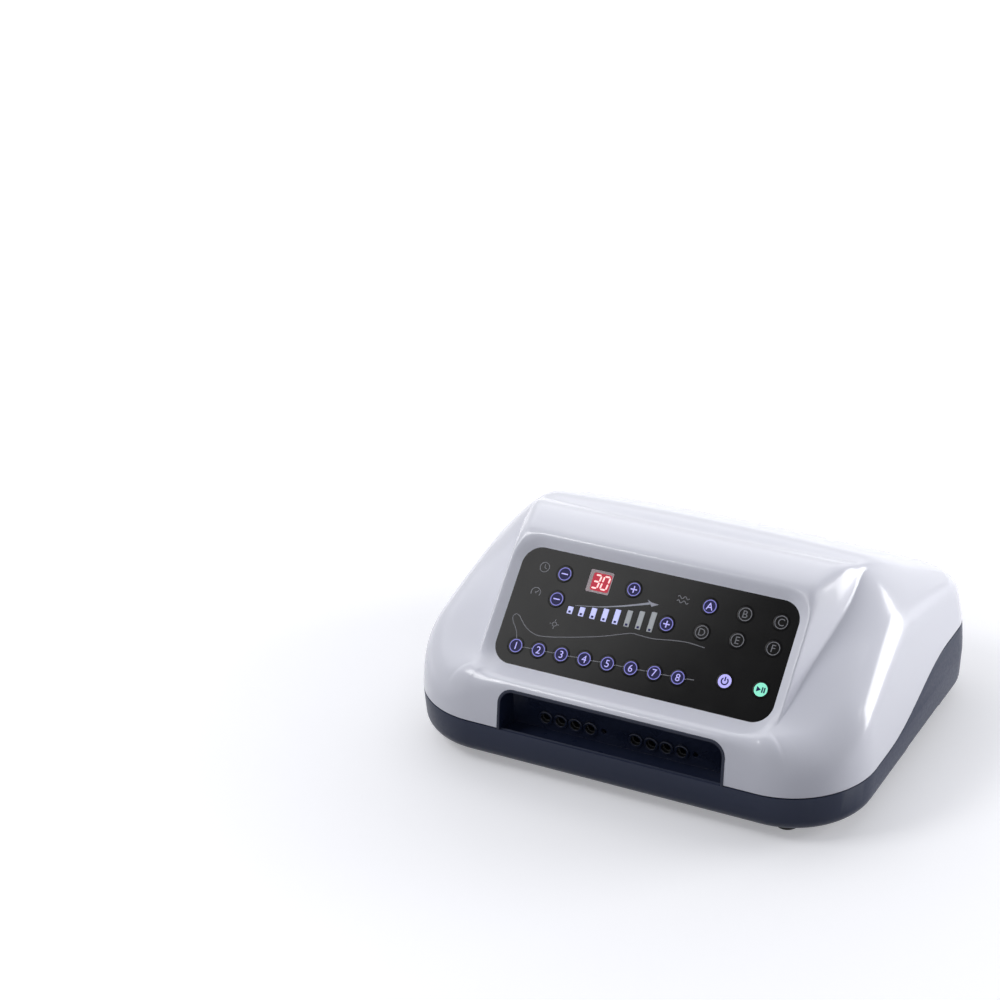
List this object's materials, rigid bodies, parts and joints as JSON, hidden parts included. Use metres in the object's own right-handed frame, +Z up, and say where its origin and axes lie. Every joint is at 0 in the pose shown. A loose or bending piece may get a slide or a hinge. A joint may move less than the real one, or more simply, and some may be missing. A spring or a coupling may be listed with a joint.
{
  "type": "compression therapy pump",
  "caption": "Table-top air pump for compression garments: white cover over a dark tray, sloped key panel, recessed hose sockets, diaphragm pump and valves inside.",
  "frame": {"origin": "middle of the footprint on the surface that the feet stand on", "axes": "+X to the right of somebody facing the key panel, +Y to the rear, +Z up"},
  "size_m": [0.33, 0.2573, 0.1426],
  "materials": {
    "cover_white": "glossy",
    "tray_navy": "satin",
    "bay_navy": "satin",
    "panel_gloss": "glossy",
    "key_gloss": "glossy",
    "socket_black": "satin",
    "valve_plastic": "matt",
    "valve_coil": "satin",
    "clear_hose": "satin",
    "chip_black": "matt",
    "rubber_black": "matt",
    "steel_sheet": "satin",
    "copper_coil": "enamelled",
    "steel_core": "satin",
    "pump_plastic": "matt",
    "filter_felt": "felt",
    "board_green": "satin",
    "steel_screw": "plated",
    "fan_black": "satin",
    "inlet_black": "satin",
    "pin_brass": "nickel plated",
    "fuse_glass": "clear",
    "lens_tint": "glossy",
    "display_red": "lit",
    "light_bar": "diffusing",
    "switch_metal": "satin",
    "ribbon_grey": "matt"
  },
  "bodies": {
    "housing": {"base_tray": "tray_navy", "board_components": "chip_black", "board_screws": "steel_screw", "control_panel": "panel_gloss", "cover_screws": "steel_screw", "display_lens": "lens_tint", "display_module": "display_red", "fan_frame": "fan_black", "fan_screws": "steel_screw", "foot_screws": "steel_screw", "inlet_pins": "pin_brass", "inlet_screws": "steel_screw", "intake_filter": "filter_felt", "left_hose_socket": "socket_black", "main_board": "board_green", "mains_inlet": "inlet_black", "panel_board": "board_green", "panel_screws": "steel_screw", "power_supply": "steel_sheet", "pressure_bars": "light_bar", "pressure_sensor": "chip_black", "pump_coils": "copper_coil", "pump_diaphragms": "rubber_black", "pump_frame": "steel_sheet", "pump_heads": "pump_plastic", "pump_isolators": "rubber_black", "pump_outlet_tube": "clear_hose", "ribbon_cable": "ribbon_grey", "right_hose_socket": "socket_black", "rubber_feet": "rubber_black", "socket_bay": "bay_navy", "solenoid_valves": "valve_coil", "tactile_switches": "switch_metal", "top_cover": "cover_white", "valve_hoses": "clear_hose", "valve_manifold": "valve_plastic"},
    "pump_armature": {"pump_armature": "steel_core"},
    "fan_rotor": {"fan_rotor": "fan_black"},
    "fuse_drawer": {"fuse_drawer": "inlet_black", "mains_fuses": "fuse_glass"},
    "key_chamber_1": {"key_chamber_1": "key_gloss"},
    "key_chamber_2": {"key_chamber_2": "key_gloss"},
    "key_chamber_3": {"key_chamber_3": "key_gloss"},
    "key_chamber_4": {"key_chamber_4": "key_gloss"},
    "key_chamber_5": {"key_chamber_5": "key_gloss"},
    "key_chamber_6": {"key_chamber_6": "key_gloss"},
    "key_chamber_7": {"key_chamber_7": "key_gloss"},
    "key_chamber_8": {"key_chamber_8": "key_gloss"},
    "key_mode_a": {"key_mode_a": "key_gloss"},
    "key_mode_b": {"key_mode_b": "key_gloss"},
    "key_mode_c": {"key_mode_c": "key_gloss"},
    "key_mode_d": {"key_mode_d": "key_gloss"},
    "key_mode_e": {"key_mode_e": "key_gloss"},
    "key_mode_f": {"key_mode_f": "key_gloss"},
    "key_power": {"key_power": "key_gloss"},
    "key_pressure_minus": {"key_pressure_minus": "key_gloss"},
    "key_pressure_plus": {"key_pressure_plus": "key_gloss"},
    "key_start_pause": {"key_start_pause": "key_gloss"},
    "key_time_minus": {"key_time_minus": "key_gloss"},
    "key_time_plus": {"key_time_plus": "key_gloss"}
  },
  "joints": [
    {"name": "key_chamber_1_press", "type": "slide", "parent": "housing", "child": "key_chamber_1", "axis": [0, 0.7009, -0.7133], "range_m": [0, 0.0005], "stiffness_N_per_m": 3000},
    {"name": "key_chamber_2_press", "type": "slide", "parent": "housing", "child": "key_chamber_2", "axis": [0, 0.7009, -0.7133], "range_m": [0, 0.0005], "stiffness_N_per_m": 3000},
    {"name": "key_chamber_3_press", "type": "slide", "parent": "housing", "child": "key_chamber_3", "axis": [0, 0.7009, -0.7133], "range_m": [0, 0.0005], "stiffness_N_per_m": 3000},
    {"name": "key_chamber_4_press", "type": "slide", "parent": "housing", "child": "key_chamber_4", "axis": [0, 0.7009, -0.7133], "range_m": [0, 0.0005], "stiffness_N_per_m": 3000},
    {"name": "key_chamber_5_press", "type": "slide", "parent": "housing", "child": "key_chamber_5", "axis": [0, 0.7009, -0.7133], "range_m": [0, 0.0005], "stiffness_N_per_m": 3000},
    {"name": "key_chamber_6_press", "type": "slide", "parent": "housing", "child": "key_chamber_6", "axis": [0, 0.7009, -0.7133], "range_m": [0, 0.0005], "stiffness_N_per_m": 3000},
    {"name": "key_chamber_7_press", "type": "slide", "parent": "housing", "child": "key_chamber_7", "axis": [0, 0.7009, -0.7133], "range_m": [0, 0.0005], "stiffness_N_per_m": 3000},
    {"name": "key_chamber_8_press", "type": "slide", "parent": "housing", "child": "key_chamber_8", "axis": [0, 0.7009, -0.7133], "range_m": [0, 0.0005], "stiffness_N_per_m": 3000},
    {"name": "key_mode_a_press", "type": "slide", "parent": "housing", "child": "key_mode_a", "axis": [0, 0.7009, -0.7133], "range_m": [0, 0.0005], "stiffness_N_per_m": 3000},
    {"name": "key_mode_b_press", "type": "slide", "parent": "housing", "child": "key_mode_b", "axis": [0, 0.7009, -0.7133], "range_m": [0, 0.0005], "stiffness_N_per_m": 3000},
    {"name": "key_mode_c_press", "type": "slide", "parent": "housing", "child": "key_mode_c", "axis": [0, 0.7009, -0.7133], "range_m": [0, 0.0005], "stiffness_N_per_m": 3000},
    {"name": "key_mode_d_press", "type": "slide", "parent": "housing", "child": "key_mode_d", "axis": [0, 0.7009, -0.7133], "range_m": [0, 0.0005], "stiffness_N_per_m": 3000},
    {"name": "key_mode_e_press", "type": "slide", "parent": "housing", "child": "key_mode_e", "axis": [0, 0.7009, -0.7133], "range_m": [0, 0.0005], "stiffness_N_per_m": 3000},
    {"name": "key_mode_f_press", "type": "slide", "parent": "housing", "child": "key_mode_f", "axis": [0, 0.7009, -0.7133], "range_m": [0, 0.0005], "stiffness_N_per_m": 3000},
    {"name": "key_power_press", "type": "slide", "parent": "housing", "child": "key_power", "axis": [0, 0.7009, -0.7133], "range_m": [0, 0.0005], "stiffness_N_per_m": 3000},
    {"name": "key_pressure_minus_press", "type": "slide", "parent": "housing", "child": "key_pressure_minus", "axis": [0, 0.7009, -0.7133], "range_m": [0, 0.0005], "stiffness_N_per_m": 3000},
    {"name": "key_pressure_plus_press", "type": "slide", "parent": "housing", "child": "key_pressure_plus", "axis": [0, 0.7009, -0.7133], "range_m": [0, 0.0005], "stiffness_N_per_m": 3000},
    {"name": "key_start_pause_press", "type": "slide", "parent": "housing", "child": "key_start_pause", "axis": [0, 0.7009, -0.7133], "range_m": [0, 0.0005], "stiffness_N_per_m": 3000},
    {"name": "key_time_minus_press", "type": "slide", "parent": "housing", "child": "key_time_minus", "axis": [0, 0.7009, -0.7133], "range_m": [0, 0.0005], "stiffness_N_per_m": 3000},
    {"name": "key_time_plus_press", "type": "slide", "parent": "housing", "child": "key_time_plus", "axis": [0, 0.7009, -0.7133], "range_m": [0, 0.0005], "stiffness_N_per_m": 3000},
    {"name": "pump_stroke", "type": "slide", "parent": "housing", "child": "pump_armature", "axis": [1, 0, 0], "range_m": [-0.002, 0.002], "stiffness_N_per_m": 3000},
    {"name": "fan_spin", "type": "hinge", "parent": "housing", "child": "fan_rotor", "pos_m": [0.096, 0.1125, 0.034], "axis": [0, 1, 0], "continuous": true},
    {"name": "fuse_drawer_pull", "type": "slide", "parent": "housing", "child": "fuse_drawer", "axis": [0, 1, 0], "range_m": [0, 0.014]}
  ]
}
